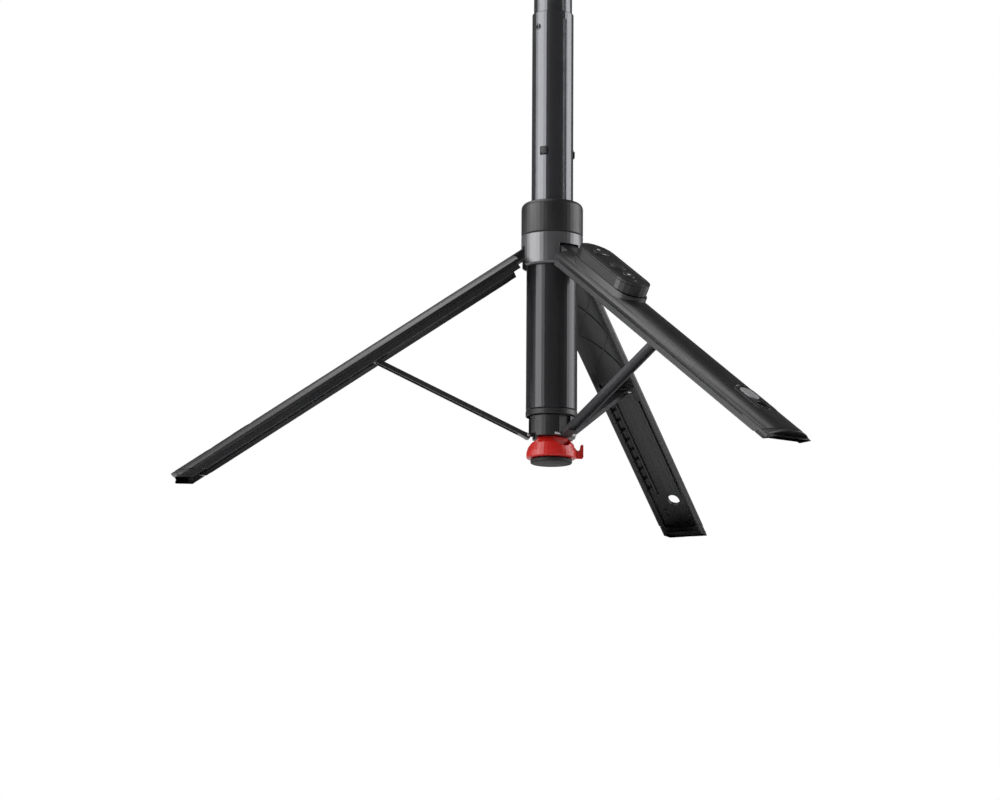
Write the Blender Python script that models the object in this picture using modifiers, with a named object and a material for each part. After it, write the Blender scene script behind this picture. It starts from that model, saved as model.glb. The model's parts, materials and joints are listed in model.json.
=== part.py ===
"""Telescopic selfie stick whose grip unfolds into a tripod.

Blender 4.5 script. Every size below is in millimetres, and becomes metres where meshes are made and placed.
+Z is up and the mast stands on the Z axis. Heights below are above the floor that the feet stand on, and the
last step moves the origin up to the centre of the base pad's underside. The front leg points along -Y and
carries the remote control.

Each leg is modelled folded: X out from the mast, Y along the hinge axis, Z up, with its origin on the
hinge. Placing the leg turns it out by LEG_SWING.
"""

from math import asin, atan2, cos, degrees, hypot, pi, radians, sin, tau

import bmesh
import bpy
from mathutils import Matrix, Vector

MM = 0.001
GAP = 0.3

# Folding grip: hinge H, strut head J and strut foot S, as distance from the mast axis and height.
HINGE_R, HINGE_Z = 15.2, 140.2
LEG_SWING = radians(55.7)
JOINT_R, JOINT_Z = 109.7, 76.4
FOOT_R, FOOT_Z = 14.2, 30.6
LEGS = {"front": radians(-90), "right": radians(30), "left": radians(150)}

# Leg section, seen along the folded leg.
LEG_CROWN_R = 20.3
LEG_HALF = 13.4
SHELL_WALL = 1.1
SHELL_EDGE_N = -1.9
LEG_INNER_N = -5.5
LEG_TOP_U = 8.0
LEG_END_U = 262.0
TONGUE_HALF, TONGUE_N = 6.4, -1.3
BARREL_HALF, BARREL_R = 6.2, 1.35
FOOT_HEIGHT = 4.9
WINDOW_U, WINDOW_LONG, WINDOW_WIDE = 202.0, 14.0, 8.0
HOLE_U, HOLE_LONG, HOLE_WIDE = 216.5, 9.0, 7.5

# Hub, collar and fixed column.
HUB_R = 18.5
BORE_R = 14.75
HUB_BOTTOM, HUB_TOP, COLLAR_TOP = 133.0, 152.0, 172.5
SLOT_TOP = 145.0
COLUMN_R = 15.25
COLUMN_TOP, COLUMN_BOTTOM = 134.5, 42.5
PIN_R = 0.6

# Mast tubes, outermost first: outer radii, wall, bottom and top heights.
TUBE_R = [12.5, 11.55, 10.6, 9.65, 8.7, 7.75]
TUBE_WALL = 0.55
TUBE_LENGTH = 235.0
TUBE_1_BOTTOM, TUBE_1_TOP = 42.5, 290.0
TUBE_2_TOP = 400.0
TUBE_STEP = 5.0
DETENT_Z = 203.0
DETENT_ANGLES = [radians(-150), radians(-30)]

# Slider and base.
SLIDER_R, SLIDER_BOTTOM = 14.3, 29.9
CAP_R, CAP_BOTTOM = 14.8, 17.5
PAD_R, PAD_BOTTOM = 12.4, 14.5
HOOK_ANGLE, HOOK_HALF = radians(-30), 0.8

# Strut.
STRUT_HALF, STRUT_THICK = 3.6, 2.6
AXLE_R, AXLE_HALF = 0.9, 7.6

# Room in the slider for one strut foot: how far it reaches in from FOOT_R, and its play to each side.
# The right and left pivots are open, and those feet wander in the slider while the legs fold.
CLOSED_REACH, CLOSED_PLAY = 2.1, 0.4
OPEN_REACH, OPEN_PLAY = 5.0, 2.2

# Remote control, docked on the front leg.
REMOTE_U, REMOTE_LONG, REMOTE_WIDE = 48.0, 62.0, 22.0
DOCK_N, REMOTE_TOP_N = 6.3, 13.6

# Phone holder.
TILT_Z = 456.0
HOLDER_BOTTOM, HOLDER_TOP = 463.5, 523.0

IDENTITY = Matrix.Identity(4)
OUTWARD = Matrix.Rotation(pi / 2, 4, "Y")
ALONG_Y = Matrix.Rotation(pi / 2, 4, "X")
ALONG_X = Matrix(((0, 0, 1, 0), (1, 0, 0, 0), (0, 1, 0, 0), (0, 0, 0, 1)))


def mm(x, y, z):
    return Vector((x, y, z)) * MM


def shift(x, y, z):
    return Matrix.Translation(mm(x, y, z))


def arc(centre_x, centre_y, radius, start, end, count):
    """Points in degrees from start to end round a centre."""
    points = []
    for i in range(count + 1):
        angle = radians(start + (end - start) * i / count)
        points.append((centre_x + radius * cos(angle), centre_y + radius * sin(angle)))
    return points


def stadium(half_long, half_wide, count=8):
    """A slot outline with round ends, long in Y."""
    straight = half_long - half_wide
    return arc(0, straight, half_wide, 0, 180, count) + arc(0, -straight, half_wide, 180, 360, count)


def rectangle(x0, x1, y0, y1):
    return [(x0, y0), (x1, y0), (x1, y1), (x0, y1)]


# ---------------------------------------------------------------- scene and materials

for old in list(bpy.data.objects):
    bpy.data.objects.remove(old, do_unlink=True)

PARTS = bpy.data.collections.new("selfie_stick")
CUTTERS = bpy.data.collections.new("cutters")
bpy.context.scene.collection.children.link(PARTS)
bpy.context.scene.collection.children.link(CUTTERS)


def material(name, colour, roughness, metallic=0.0):
    made = bpy.data.materials.new(name)
    made.use_nodes = True
    shader = made.node_tree.nodes["Principled BSDF"]
    shader.inputs["Base Color"].default_value = (*colour, 1.0)
    shader.inputs["Roughness"].default_value = roughness
    shader.inputs["Metallic"].default_value = metallic
    made.diffuse_color = (*colour, 1.0)
    return made


TUBE_METAL = material("gunmetal_tube", (0.055, 0.055, 0.06), 0.3, 0.9)
COLUMN_METAL = material("black_column", (0.02, 0.02, 0.022), 0.35, 0.7)
HUB_PLASTIC = material("grey_hub", (0.09, 0.09, 0.095), 0.38, 0.3)
COLLAR_PLASTIC = material("black_collar", (0.03, 0.03, 0.032), 0.5)
SHELL_PLASTIC = material("black_shell", (0.028, 0.028, 0.03), 0.45)
LINER_PLASTIC = material("dark_liner", (0.05, 0.05, 0.053), 0.5)
RUBBER = material("black_rubber", (0.015, 0.015, 0.015), 0.85)
STEEL = material("steel_pin", (0.55, 0.55, 0.56), 0.25, 1.0)
STRUT_METAL = material("grey_strut", (0.12, 0.12, 0.125), 0.4, 0.6)
RED_PLASTIC = material("red_cap", (0.75, 0.035, 0.02), 0.4)
INSERT_PLASTIC = material("pale_insert", (0.45, 0.45, 0.46), 0.5)
REMOTE_PLASTIC = material("remote_black", (0.02, 0.02, 0.022), 0.4)
BUTTON_PLASTIC = material("button_grey", (0.07, 0.07, 0.075), 0.45)
BOARD_GREEN = material("circuit_board", (0.02, 0.12, 0.05), 0.5)


def tidy(mesh):
    mesh.shade_smooth()
    mesh.set_sharp_from_angle(angle=radians(32))


def add(name, mesh, surface, matrix=IDENTITY):
    made = bpy.data.objects.new(name, mesh)
    PARTS.objects.link(made)
    if surface is not None:
        mesh.materials.clear()
        mesh.materials.append(surface)
    made.matrix_world = matrix
    return made


def evaluated_mesh(source):
    """The mesh that an object's modifiers or curve give, with its caps welded."""
    bpy.context.view_layer.update()
    graph = bpy.context.evaluated_depsgraph_get()
    mesh = bpy.data.meshes.new_from_object(source.evaluated_get(graph))
    shape = bmesh.new()
    shape.from_mesh(mesh)
    bmesh.ops.remove_doubles(shape, verts=shape.verts, dist=1e-6)
    bmesh.ops.recalc_face_normals(shape, faces=shape.faces)
    shape.to_mesh(mesh)
    shape.free()
    tidy(mesh)
    return mesh


def drop(made):
    bpy.data.objects.remove(made, do_unlink=True)


def prism(name, outline, low, high, surface=None, frame=IDENTITY, holes=()):
    """A flat outline carried from low to high along the frame's Z."""
    curve = bpy.data.curves.new(name, "CURVE")
    curve.dimensions = "2D"
    curve.fill_mode = "BOTH"
    curve.extrude = (high - low) / 2 * MM
    for points in (outline, *holes):
        spline = curve.splines.new("POLY")
        spline.points.add(len(points) - 1)
        for point, (x, y) in zip(spline.points, points):
            point.co = (x * MM, y * MM, 0, 1)
        spline.use_cyclic_u = True
    drawn = bpy.data.objects.new(name + "_outline", curve)
    PARTS.objects.link(drawn)
    mesh = evaluated_mesh(drawn)
    drop(drawn)
    return add(name, mesh, surface, frame @ shift(0, 0, (low + high) / 2))


def turned(name, profile, surface=None, steps=36, closed=True, frame=IDENTITY):
    """A profile of (radius, height) points, running down its outer side, turned about Z."""
    mesh = bpy.data.meshes.new(name)
    count = len(profile)
    edges = [(i, i + 1) for i in range(count - 1)]
    if closed:
        edges.append((count - 1, 0))
    mesh.from_pydata([mm(r, 0, z) for r, z in profile], edges, [])
    made = add(name, mesh, surface, frame)
    screw = made.modifiers.new("Turn", "SCREW")
    screw.steps = steps
    screw.render_steps = steps
    screw.use_merge_vertices = True
    screw.merge_threshold = 0.00001
    mesh = evaluated_mesh(made)
    drop(made)
    return add(name, mesh, surface, frame)


def ring(name, outer, inner, low, high, surface=None, steps=36, frame=IDENTITY, lip=0.4):
    """A tube with a small chamfer on its outer rims."""
    profile = [(outer - lip, high), (outer, high - lip), (outer, low + lip), (outer - lip, low)]
    profile += [(inner, low), (inner, high)]
    return turned(name, profile, surface, steps, True, frame)


def rod(name, radius, low, high, surface=None, steps=12, frame=IDENTITY, lip=0.2):
    """A solid round bar along the frame's Z with chamfered ends."""
    profile = [(0, high), (radius - lip, high), (radius, high - lip), (radius, low + lip)]
    profile += [(radius - lip, low), (0, low)]
    return turned(name, profile, surface, steps, False, frame)


def box(name, x0, x1, y0, y1, z0, z1, surface=None, frame=IDENTITY):
    return prism(name, rectangle(x0, x1, y0, y1), z0, z1, surface, frame)


def combine(target, other, operation):
    step = target.modifiers.new(operation.title(), "BOOLEAN")
    step.operation = operation
    step.object = other
    step.solver = "EXACT"
    PARTS.objects.unlink(other)
    CUTTERS.objects.link(other)
    other.hide_render = True
    other.display_type = "WIRE"
    if not other.name.startswith("cut_"):
        other.name = "cut_" + other.name


def cut(target, *others):
    for other in others:
        combine(target, other, "DIFFERENCE")


def join(target, *others):
    for other in others:
        combine(target, other, "UNION")


def bake(made):
    """Settles an object's modifiers into its mesh, so that copies can share it."""
    surface = made.data.materials[0]
    helpers = [step.object for step in made.modifiers]
    mesh = evaluated_mesh(made)
    mesh.materials.clear()
    mesh.materials.append(surface)
    mesh.transform(made.matrix_world)
    made.modifiers.clear()
    made.data = mesh
    made.matrix_world = IDENTITY
    for helper in helpers:
        drop(helper)
    return made


# ---------------------------------------------------------------- places

def round_mast(angle):
    """The frame of one leg's plane: X points out from the mast at this angle."""
    return Matrix.Rotation(angle, 4, "Z")


def leg_frame(angle):
    return round_mast(angle) @ shift(HINGE_R, 0, HINGE_Z) @ Matrix.Rotation(-LEG_SWING, 4, "Y")


def along_leg(outward, down):
    """Folded-leg coordinates of a place in the mast's plane, from the hinge."""
    dr, dz = outward - HINGE_R, down - HINGE_Z
    n = dr * cos(LEG_SWING) + dz * sin(LEG_SWING)
    u = dr * sin(LEG_SWING) - dz * cos(LEG_SWING)
    return n, u


JOINT_N, JOINT_U = along_leg(JOINT_R, JOINT_Z)
STRUT_LONG = hypot(JOINT_R - FOOT_R, JOINT_Z - FOOT_Z)
STRUT_SLANT = atan2(JOINT_R - FOOT_R, JOINT_Z - FOOT_Z)


def section_arc(radius, half, count):
    """The arc about the mast axis across the leg, from +half to -half, in leg coordinates."""
    reach = degrees(asin(half / radius))
    return arc(-HINGE_R, 0, radius, reach, -reach, count)


def mast_core(name, radius, from_u, to_u, steps=48):
    """A cylinder about the folded mast axis, to clear the column from a leg."""
    return rod(name, radius, -to_u, -from_u, steps=steps, frame=shift(-HINGE_R, 0, 0), lip=0.05)


def ground_block(name, top):
    """Everything below a height of the open leg, in folded-leg coordinates."""
    level = leg_frame(0).inverted()
    return box(name, -100, 400, -60, 60, -60, top, frame=level)


def sky_block(name, bottom):
    level = leg_frame(0).inverted()
    return box(name, -100, 400, -60, 60, bottom, 260, frame=level)


# ---------------------------------------------------------------- legs

def leg_shell(with_dock):
    """The outer cover: a crowned channel that ends in the hinge tongue."""
    name = "shell_with_dock" if with_dock else "shell_plain"
    outer = section_arc(LEG_CROWN_R, LEG_HALF, 10)
    outline = [(SHELL_EDGE_N, LEG_HALF), *outer, (SHELL_EDGE_N, -LEG_HALF)]
    shell = prism(name, outline, -LEG_END_U, -0.5, SHELL_PLASTIC)
    if with_dock:
        dock = stadium(REMOTE_LONG / 2 + 2, REMOTE_WIDE / 2 - 0.6)
        join(shell, prism("dock", dock, 1.5, DOCK_N, frame=shift(0, 0, -REMOTE_U) @ ALONG_X))
    inner_half = LEG_HALF - SHELL_WALL - 0.1
    inner = section_arc(LEG_CROWN_R - SHELL_WALL, inner_half, 12)
    hollow = [(SHELL_EDGE_N - 2, inner_half), *inner, (SHELL_EDGE_N - 2, -inner_half)]
    cut(shell, prism("hollow", hollow, -LEG_END_U - 5, -LEG_TOP_U - 1.5))
    for side in (-1, 1):
        edges = sorted((side * TONGUE_HALF, side * 20))
        cut(shell, box("shoulder", -10, 10, *edges, -LEG_TOP_U, 5))
    cut(shell, box("tongue_face", -10, TONGUE_N, -20, 20, -LEG_TOP_U, 5))
    cut(shell, mast_core("column_room", COLUMN_R + 0.5, 3.2, 104))
    join(shell, rod("barrel", BARREL_R, -BARREL_HALF, BARREL_HALF, steps=16, frame=ALONG_Y, lip=0.05))
    cut(shell, rod("hinge_hole", PIN_R + GAP, -20, 20, steps=14, frame=ALONG_Y))
    window = stadium(WINDOW_LONG / 2 + GAP, WINDOW_WIDE / 2 + GAP)
    cut(shell, prism("window", window, 0, 12, frame=shift(0, 0, -WINDOW_U) @ ALONG_X))
    cut(shell, prism("hole", stadium(HOLE_LONG / 2, HOLE_WIDE / 2), -12, 12,
                     frame=shift(0, 0, -HOLE_U) @ ALONG_X))
    cut(shell, ground_block("ground", FOOT_HEIGHT + GAP))
    return bake(shell)


def leg_liner():
    """The inner tray: a round trough for the column, then a ribbed channel for the strut."""
    outer = section_arc(LEG_CROWN_R - SHELL_WALL - GAP, LEG_HALF - 1.5, 12)
    step_n = SHELL_EDGE_N - GAP
    outline = [(LEG_INNER_N, LEG_HALF), (step_n, LEG_HALF), (step_n, LEG_HALF - 1.5), *outer]
    outline += [(step_n, 1.5 - LEG_HALF), (step_n, -LEG_HALF), (LEG_INNER_N, -LEG_HALF)]
    liner = prism("liner_pattern", outline, -LEG_END_U, -LEG_TOP_U - 1.8, LINER_PLASTIC)
    floor_r = LEG_CROWN_R - SHELL_WALL - GAP - 0.9
    half = LEG_HALF - 2.5
    channel = [(LEG_INNER_N - 3, half), *section_arc(floor_r, half, 10), (LEG_INNER_N - 3, -half)]
    block_low, block_high = JOINT_U + 5.8, JOINT_U - 5.8
    cut(liner, mast_core("trough", COLUMN_R + 0.65, -5, LEG_END_U + 5, steps=54))
    cut(liner, prism("channel_1", channel, -block_high, -102))
    cut(liner, prism("channel_2", channel, -LEG_END_U - 5, -block_low))
    cut(liner, box("strut_slot", -20, 2.85, -STRUT_HALF - 0.4, STRUT_HALF + 0.4,
                   -block_low - 1, -block_high + 1))
    cut(liner, box("block_top", -20, -2.4, -half, half, -block_low - 1, -block_high + 1))
    cut(liner, rod("strut_pin_hole", 1.0 + GAP, -7.5, 7.5, frame=shift(JOINT_N, 0, -JOINT_U) @ ALONG_Y))
    for side in (-1, 1):
        edges = sorted((side * 7.2, side * 8.3))
        join(liner, box("rib", -0.8, 1.4, *edges, -205, -block_low - 1.2))
    join(liner, box("strip", 2.55, 3.2, -2.2, 2.2, -206, -block_low - 1.2))
    cut(liner, prism("liner_hole", stadium(HOLE_LONG / 2, HOLE_WIDE / 2), -12, 12,
                     frame=shift(0, 0, -HOLE_U) @ ALONG_X))
    cut(liner, ground_block("liner_ground", FOOT_HEIGHT + GAP))
    return bake(liner)


def leg_foot():
    """The rubber foot: a slice of the leg's section with a level sole, hollowed for the base."""
    outer = section_arc(LEG_CROWN_R - 0.2, LEG_HALF - 0.2, 12)
    outline = [(LEG_INNER_N + 0.2, LEG_HALF - 0.2), *outer, (LEG_INNER_N + 0.2, 0.2 - LEG_HALF)]
    foot = prism("foot_pattern", outline, -LEG_END_U - 10, -LEG_END_U + 50, RUBBER)
    cut(foot, mast_core("base_room", COLUMN_R + 0.65, 100, LEG_END_U + 20, steps=54))
    cut(foot, sky_block("sky", FOOT_HEIGHT))
    cut(foot, ground_block("floor", 0.0))
    return bake(foot)


def copy_of(pattern, name, matrix):
    made = bpy.data.objects.new(name, pattern.data)
    PARTS.objects.link(made)
    made.matrix_world = matrix
    return made


def build_legs():
    plain = leg_shell(False)
    docked = leg_shell(True)
    liner = leg_liner()
    foot = leg_foot()
    window = prism("window_pattern", stadium(WINDOW_LONG / 2, WINDOW_WIDE / 2), 4.1, 5.0, INSERT_PLASTIC,
                   frame=shift(0, 0, -WINDOW_U) @ ALONG_X)
    bake(window)
    for side, angle in LEGS.items():
        place = leg_frame(angle)
        copy_of(docked if side == "front" else plain, "leg_shell_" + side, place)
        copy_of(liner, "leg_liner_" + side, place)
        copy_of(foot, "leg_foot_" + side, place)
        copy_of(window, "leg_window_" + side, place)
        rod("hinge_pin_" + side, PIN_R, -8.3, 8.3, STEEL, 10,
            round_mast(angle) @ shift(HINGE_R, 0, HINGE_Z) @ ALONG_Y)
        rod("strut_pin_" + side, 1.0, -7.2, 7.2, STEEL, 10,
            round_mast(angle) @ shift(JOINT_R, 0, JOINT_Z) @ ALONG_Y)
        build_strut(side, angle)
    for pattern in (plain, docked, liner, foot, window):
        drop(pattern)


def build_strut(side, angle):
    """A U-section bar from the slider to the leg, with an eye at each end."""
    half_thick = STRUT_THICK / 2
    outline = arc(0, STRUT_LONG, half_thick + 0.2, 0, 180, 8)
    outline += [(-half_thick, STRUT_LONG - 3), (-half_thick, 3)]
    outline += arc(0, 0, half_thick + 0.3, 180, 360, 8)
    outline += [(half_thick, 3), (half_thick, STRUT_LONG - 3)]
    place = round_mast(angle) @ shift(FOOT_R, 0, FOOT_Z) @ Matrix.Rotation(STRUT_SLANT, 4, "Y")
    bar = prism("strut_" + side, outline, -STRUT_HALF, STRUT_HALF, STRUT_METAL, place @ ALONG_Y)
    cut(bar, box("groove_" + side, 0.0, 5, 1.1 - STRUT_HALF, STRUT_HALF - 1.1, 6, STRUT_LONG - 6, frame=place))
    for height, hole in ((0, AXLE_R + 0.15), (STRUT_LONG, 1.0 + 0.2)):
        cut(bar, rod("eye_" + side, hole, -9, 9, steps=12, frame=place @ shift(0, 0, height) @ ALONG_Y))
    rod("strut_axle_" + side, AXLE_R, -AXLE_HALF, AXLE_HALF, STEEL, 10, place @ ALONG_Y)


# ---------------------------------------------------------------- hub, collar and column

def build_hub():
    profile = [(HUB_R - 0.4, HUB_TOP), (HUB_R, HUB_TOP - 0.4), (HUB_R, HUB_BOTTOM + 0.9)]
    profile += [(HUB_R - 0.9, HUB_BOTTOM), (COLUMN_R + GAP, HUB_BOTTOM), (COLUMN_R + GAP, COLUMN_TOP + GAP)]
    profile += [(BORE_R, COLUMN_TOP + GAP), (BORE_R, HUB_TOP)]
    hub = turned("hub", profile, HUB_PLASTIC, 48)
    for side, angle in LEGS.items():
        half = TONGUE_HALF + 0.4
        cut(hub, box("slot_" + side, 5, 25, -half, half, HUB_BOTTOM - 3, SLOT_TOP, frame=round_mast(angle)))
        cut(hub, rod("pin_hole_" + side, PIN_R + 0.2, -8.6, 8.6, steps=12,
                     frame=round_mast(angle) @ shift(HINGE_R, 0, HINGE_Z) @ ALONG_Y))


def build_collar():
    round_r = HUB_R - BORE_R
    profile = arc(BORE_R, COLLAR_TOP - round_r, round_r, 88, 0, 6)
    profile += [(HUB_R, HUB_TOP + GAP + 0.4), (HUB_R - 0.4, HUB_TOP + GAP), (BORE_R, HUB_TOP + GAP)]
    profile += [(BORE_R, COLLAR_TOP)]
    turned("collar", profile, COLLAR_PLASTIC, 48)


def build_column():
    ring("column_tube", COLUMN_R, BORE_R, COLUMN_BOTTOM + 3.8, COLUMN_TOP, COLUMN_METAL, 48, lip=0.2)
    ring("column_end_ring", COLUMN_R + 0.15, BORE_R, COLUMN_BOTTOM, COLUMN_BOTTOM + 3.5, COLLAR_PLASTIC, 48)


# ---------------------------------------------------------------- slider and base

def build_slider():
    top = COLUMN_BOTTOM - GAP
    spigot = TUBE_R[0] - TUBE_WALL - 0.35
    profile = [(0, top + 10), (spigot - 0.4, top + 10), (spigot, top + 9.6), (spigot, top)]
    profile += [(SLIDER_R - 0.4, top), (SLIDER_R, top - 0.4), (SLIDER_R, SLIDER_BOTTOM)]
    profile += [(1.7, SLIDER_BOTTOM), (1.7, top - 2), (0, top - 2)]
    slider = turned("slider_block", profile, COLLAR_PLASTIC, 36, False)
    low = SLIDER_BOTTOM - 3
    for side, angle in LEGS.items():
        reach, play = (CLOSED_REACH, CLOSED_PLAY) if side == "front" else (OPEN_REACH, OPEN_PLAY)
        place = round_mast(angle)
        half = STRUT_HALF + play
        cut(slider, box("strut_way_" + side, FOOT_R - reach, 20, -half, half, low, top + 3, frame=place))
        half = AXLE_HALF + play
        cut(slider, box("axle_pocket_" + side, FOOT_R - reach + 0.8, 20, -half, half,
                        low, FOOT_Z + AXLE_R + 0.4, frame=place))


def build_base():
    top = SLIDER_BOTTOM - GAP
    profile = [(9.8, top), (13.4, top - 3.8), (CAP_R, 21.0), (CAP_R, CAP_BOTTOM + 0.6)]
    profile += [(CAP_R - 0.6, CAP_BOTTOM), (3.4, CAP_BOTTOM), (3.4, CAP_BOTTOM + 2.5)]
    profile += [(1.9, CAP_BOTTOM + 2.5), (1.9, top)]
    cap = turned("base_cap", profile, RED_PLASTIC, 40)
    hook = [(13, 17.9), (18.3, 17.9), (19.1, 18.7), (19.1, 25.8), (18.4, 26.5), (17.4, 25.8)]
    hook += [(17.0, 23.4), (16.0, 22.5), (15.0, 23.0), (14.0, 24.4), (13, 24.6)]
    join(cap, prism("lanyard_hook", hook, -HOOK_HALF, HOOK_HALF, frame=round_mast(HOOK_ANGLE) @ ALONG_Y))
    for side, angle in LEGS.items():
        cut(cap, rod("scallop_" + side, 7.0, 8.5, 22, steps=24,
                     frame=round_mast(angle) @ shift(0, 0, top + 1.2) @ OUTWARD))
    rod("base_pad", PAD_R, PAD_BOTTOM, CAP_BOTTOM - GAP, RUBBER, 32, lip=0.6)
    screw = [(0, 38), (1.3, 38), (1.3, CAP_BOTTOM + 2.2), (3.0, CAP_BOTTOM + 2.2)]
    screw += [(3.0, CAP_BOTTOM + 0.4), (0, CAP_BOTTOM + 0.4)]
    turned("cap_screw", screw, STEEL, 12, False)


# ---------------------------------------------------------------- mast

def tube_ends(index):
    """Bottom and top of one mast tube."""
    if index == 0:
        return TUBE_1_BOTTOM, TUBE_1_TOP
    top = TUBE_2_TOP + TUBE_STEP * (index - 1)
    return top - TUBE_LENGTH, top


def build_mast():
    for index, radius in enumerate(TUBE_R):
        low, high = tube_ends(index)
        steps = 40 if index < 2 else 24
        tube = ring(f"mast_tube_{index + 1}", radius, radius - TUBE_WALL, low, high, TUBE_METAL, steps, lip=0.15)
        if index < 2:
            cut(tube, box(f"groove_{index + 1}", -1.0, 1.0, -radius - 1, 0.35 - radius, low - 1, high - 5))
        if index == 0:
            for number, angle in enumerate(DETENT_ANGLES):
                place = round_mast(angle) @ shift(0, 0, DETENT_Z)
                cut(tube, box(f"detent_hole_{number}", 8, 16, -2.35, 2.35, -2.35, 2.35, frame=place))
    for number, angle in enumerate(DETENT_ANGLES):
        place = round_mast(angle) @ shift(12.3, 0, DETENT_Z)
        box(f"detent_pin_{number + 1}", 0, 1.1, -2.0, 2.0, -2.0, 2.0, COLLAR_PLASTIC, place)


# ---------------------------------------------------------------- phone holder

def head_top():
    return tube_ends(len(TUBE_R) - 1)[1]


def build_head():
    top = head_top()
    plug = TUBE_R[-1] - TUBE_WALL - GAP
    base = [(0, top + 10), (8.6, top + 10), (9.2, top + 9.4), (9.2, top + 1), (8.6, top + GAP)]
    base += [(plug, top + GAP), (plug, top - 12), (0, top - 12)]
    turned("head_base", base, COLLAR_PLASTIC, 24, False)
    yoke = rod("pan_yoke", 9.2, top + 10.3, top + 14.5, COLLAR_PLASTIC, 24, lip=0.5)
    ear = [(-5, top + 12), (5, top + 12), *arc(0, TILT_Z, 5, 0, 180, 10)]
    for side in (-1, 1):
        edges = sorted((side * 5.4, side * 8.4))
        join(yoke, prism("ear", ear, *edges, frame=ALONG_X))
    cut(yoke, rod("tilt_hole", 2.2, -20, 20, frame=shift(0, 0, TILT_Z) @ ALONG_X))
    knob = [(0, 14), (5.4, 14), (6, 13.4), (6, 9.4), (5.4, 8.8), (1.9, 8.8), (1.9, -9.6), (0, -9.6)]
    turned("tilt_knob", knob, COLLAR_PLASTIC, 20, False, shift(0, 0, TILT_Z) @ ALONG_X)


def build_holder():
    body = box("holder_body", -10, 10, -4.5, 5.5, HOLDER_BOTTOM, HOLDER_TOP, SHELL_PLASTIC)
    lug = [(5, HOLDER_BOTTOM + 2), (-4.4, HOLDER_BOTTOM + 2), *arc(0, TILT_Z, 5, 180, 360, 10)]
    join(body, prism("lug", lug, -5.0, 5.0, frame=ALONG_X))
    cut(body, rod("lug_hole", 2.2, -20, 20, frame=shift(0, 0, TILT_Z) @ ALONG_X))
    for x in (-6.5, 6.5):
        cut(body, rod("rod_hole", 1.9, HOLDER_BOTTOM + 4, HOLDER_TOP + 5, steps=12, frame=shift(x, 0.5, 0)))
    cut(body, rod("spring_hole", 3.1, HOLDER_BOTTOM + 8, HOLDER_TOP + 5, steps=14, frame=shift(0, 0.5, 0)))
    low = HOLDER_BOTTOM
    lower = [(-4.8, low), (-4.8, low + 4), (-19, low + 4), (-19.6, low + 9), (-22, low + 9), (-22.5, low + 1.5)]
    lower += [(-21, low)]
    prism("jaw_lower", lower, -15, 15, SHELL_PLASTIC, ALONG_X)
    high = HOLDER_TOP + GAP
    upper = [(5.5, high), (5.5, high + 4.5), (-21, high + 4.5), (-22.5, high + 3), (-22, high - 5)]
    upper += [(-19.6, high - 5), (-19, high)]
    jaw = prism("jaw_upper", upper, -15, 15, SHELL_PLASTIC, ALONG_X)
    for number, x in enumerate((-6.5, 6.5)):
        cut(jaw, rod("rod_seat", 1.9, high - 3, high + 3, steps=12, frame=shift(x, 0.5, 0)))
        rod(f"guide_rod_{number + 1}", 1.5, HOLDER_BOTTOM + 6, high + 2.6, STEEL, 10, shift(x, 0.5, 0))
    box("pad_lower", -13, 13, -18.6, -5.2, low + 4.3, low + 5.5, RUBBER)
    box("pad_upper", -13, 13, -18.6, -5.2, high - 1.5, high - GAP, RUBBER)
    build_spring(HOLDER_BOTTOM + 9, high - 0.8)


def build_spring(low, high):
    """The jaw's coil spring, a round wire wound up the middle bore."""
    turns, per_turn, coil_r, wire_r = 8, 8, 2.2, 0.4
    curve = bpy.data.curves.new("jaw_spring", "CURVE")
    curve.dimensions = "3D"
    curve.bevel_depth = wire_r * MM
    curve.bevel_resolution = 0
    curve.use_fill_caps = True
    spline = curve.splines.new("POLY")
    count = turns * per_turn
    spline.points.add(count)
    for i, point in enumerate(spline.points):
        angle = tau * i / per_turn
        height = low + wire_r + (high - low - 2 * wire_r) * i / count
        point.co = (coil_r * cos(angle) * MM, coil_r * sin(angle) * MM, height * MM, 1)
    drawn = bpy.data.objects.new("spring_curve", curve)
    PARTS.objects.link(drawn)
    mesh = evaluated_mesh(drawn)
    drop(drawn)
    add("jaw_spring", mesh, STEEL, shift(0, 0.5, 0))


# ---------------------------------------------------------------- remote control

def build_remote():
    place = leg_frame(LEGS["front"]) @ shift(0, 0, -REMOTE_U) @ ALONG_X
    outline = stadium(REMOTE_LONG / 2, REMOTE_WIDE / 2, 10)
    inside = stadium(REMOTE_LONG / 2 - 1.5, REMOTE_WIDE / 2 - 1.5, 10)
    face_n = REMOTE_TOP_N - 1.0
    case = prism("remote_case", outline, DOCK_N + GAP, face_n - GAP, REMOTE_PLASTIC, place)
    cut(case, prism("case_hollow", inside, DOCK_N + GAP + 1.2, REMOTE_TOP_N + 2, frame=place))
    face = prism("remote_face", outline, face_n, REMOTE_TOP_N, REMOTE_PLASTIC, place)
    rocker = [(y, x) for x, y in reversed(stadium(5.5, 4.0))]
    buttons = {"rocker_button": (16.5, rocker, 1.07), "shutter_button": (-3.0, arc(0, 0, 5.2, 0, 345, 23), 1.06)}
    buttons["mode_button"] = (-15.6, arc(0, 0, 3.8, 0, 340, 17), 1.08)
    for name, (along, shape, grow) in buttons.items():
        spot = place @ shift(0, along, 0)
        cut(face, prism("hole_" + name, [(x * grow, y * grow) for x, y in shape], 10, 20, frame=spot))
        prism(name, shape, REMOTE_TOP_N - 2.2, REMOTE_TOP_N + 0.6, BUTTON_PLASTIC, spot)
    box("circuit_board", -8.5, 8.5, -24, 24, DOCK_N + 3.7, DOCK_N + 4.7, BOARD_GREEN, place)
    rod("coin_cell", 8.0, DOCK_N + 1.9, DOCK_N + 3.4, STEEL, 18, place @ shift(0, -12, 0))


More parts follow.
